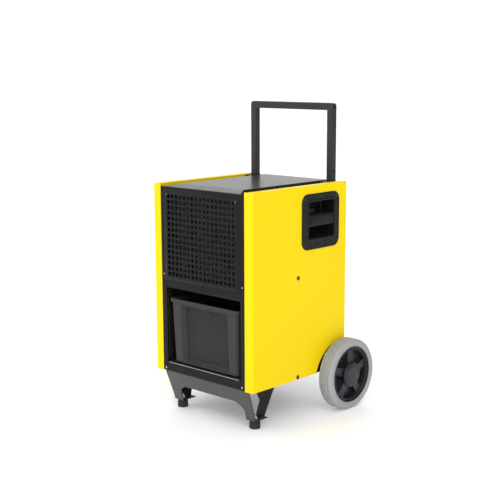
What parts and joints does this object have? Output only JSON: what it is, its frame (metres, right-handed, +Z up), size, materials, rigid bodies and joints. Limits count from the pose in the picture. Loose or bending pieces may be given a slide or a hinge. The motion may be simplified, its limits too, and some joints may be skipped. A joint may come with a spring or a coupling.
{
  "type": "commercial dehumidifier",
  "caption": "Wheeled condensation dehumidifier: upright cabinet, perforated intake above a pull-out water tank, folding push handle, rear wheels and front legs.",
  "frame": {"origin": "centre of the machine's box on the floor plane it stands on", "axes": "+Z up; -Y is the front with the intake and the tank; +X is the machine's side on the right seen from the front"},
  "size_m": [0.4984, 0.4976, 0.911],
  "materials": {
    "yellow_paint": "smooth satin powder coat",
    "black_paint": "fine-textured satin powder coat",
    "black_plastic": "moulded, faint grain",
    "tank_plastic": "moulded, satin",
    "tyre_rubber": "non-marking grey rubber",
    "black_rubber": "moulded rubber",
    "bright_steel": "zinc plated or brushed",
    "black_steel": "black oxide or enamel",
    "aluminium": "mill finish fins",
    "copper": "drawn copper tube",
    "filter_media": "coarse filter mesh in a frame",
    "white_plastic": "moulded",
    "green_lens": "translucent lens"
  },
  "bodies": {
    "cabinet": {"side_panel_right": "yellow_paint", "side_panel_left": "yellow_paint", "grip_recess_right": "black_plastic", "grip_recess_left": "black_plastic", "foot_right": "black_rubber", "foot_left": "black_rubber", "handle_bracket_right": "black_steel", "handle_bracket_left": "black_steel", "handle_pin_right": "bright_steel", "handle_pin_left": "bright_steel", "panel_screw_middle_right": "black_steel", "panel_screw_low_right": "black_steel", "panel_screw_middle_left": "black_steel", "panel_screw_low_left": "black_steel", "roof_cover": "black_paint", "front_bezel": "black_paint", "intake_grille": "black_paint", "air_filter": "filter_media", "rear_cover": "black_paint", "outlet_grille": "black_paint", "base_pan": "black_paint", "leg_frame": "black_paint", "axle_carrier": "black_paint", "axle": "bright_steel", "mid_shelf": "black_paint", "tank_bay_liner": "black_paint", "bay_floor": "black_paint", "bay_sill": "bright_steel", "evaporator": "aluminium", "condenser": "aluminium", "drip_tray": "white_plastic", "drain_spout": "black_rubber", "compressor": "black_steel", "filter_drier": "copper", "suction_pipe": "copper", "discharge_pipe": "copper", "compressor_grommet_1": "black_rubber", "compressor_grommet_2": "black_rubber", "compressor_grommet_3": "black_rubber", "fan_shroud": "black_paint", "fan_motor": "black_steel", "motor_bracket": "bright_steel", "electrical_box": "white_plastic", "run_capacitor": "aluminium", "control_plate": "black_paint", "hour_meter": "white_plastic", "indicator_lens": "green_lens", "power_inlet": "black_plastic"},
    "wheel_right": {"tyre_right": "tyre_rubber", "rim_right": "black_plastic", "hub_cap_right": "black_plastic"},
    "wheel_left": {"tyre_left": "tyre_rubber", "rim_left": "black_plastic", "hub_cap_left": "black_plastic"},
    "tank": {"tank": "tank_plastic"},
    "tank_float": {"tank_float": "white_plastic"},
    "handle": {"handle": "black_paint"},
    "fan_rotor": {"fan_rotor": "black_plastic"},
    "humidistat_knob": {"humidistat_knob": "black_plastic"},
    "power_switch": {"power_switch": "black_plastic"}
  },
  "joints": [
    {"name": "wheel_right_spin", "type": "hinge", "parent": "cabinet", "child": "wheel_right", "pos_m": [0.224, 0.14125, 0.1075], "axis": [1, 0, 0], "continuous": true},
    {"name": "wheel_left_spin", "type": "hinge", "parent": "cabinet", "child": "wheel_left", "pos_m": [-0.224, 0.14125, 0.1075], "axis": [1, 0, 0], "continuous": true},
    {"name": "tank_slide", "type": "slide", "parent": "cabinet", "child": "tank", "axis": [0, -1, 0], "range_m": [0, 0.3]},
    {"name": "float_rise", "type": "slide", "parent": "tank", "child": "tank_float", "axis": [0, 0, 1], "range_m": [0, 0.15]},
    {"name": "handle_fold", "type": "hinge", "parent": "cabinet", "child": "handle", "pos_m": [0, 0.12525, 0.6735], "axis": [1, 0, 0], "range_deg": [0, 90]},
    {"name": "fan_spin", "type": "hinge", "parent": "cabinet", "child": "fan_rotor", "pos_m": [0, 0.11225, 0.53], "axis": [0, 1, 0], "continuous": true},
    {"name": "humidistat_turn", "type": "hinge", "parent": "cabinet", "child": "humidistat_knob", "pos_m": [-0.042, 0.16115, 0.332], "axis": [0, 1, 0], "range_deg": [0, 270]},
    {"name": "power_switch_rock", "type": "hinge", "parent": "cabinet", "child": "power_switch", "pos_m": [0.009, 0.16415, 0.332], "axis": [1, 0, 0], "range_deg": [0, 16]}
  ]
}
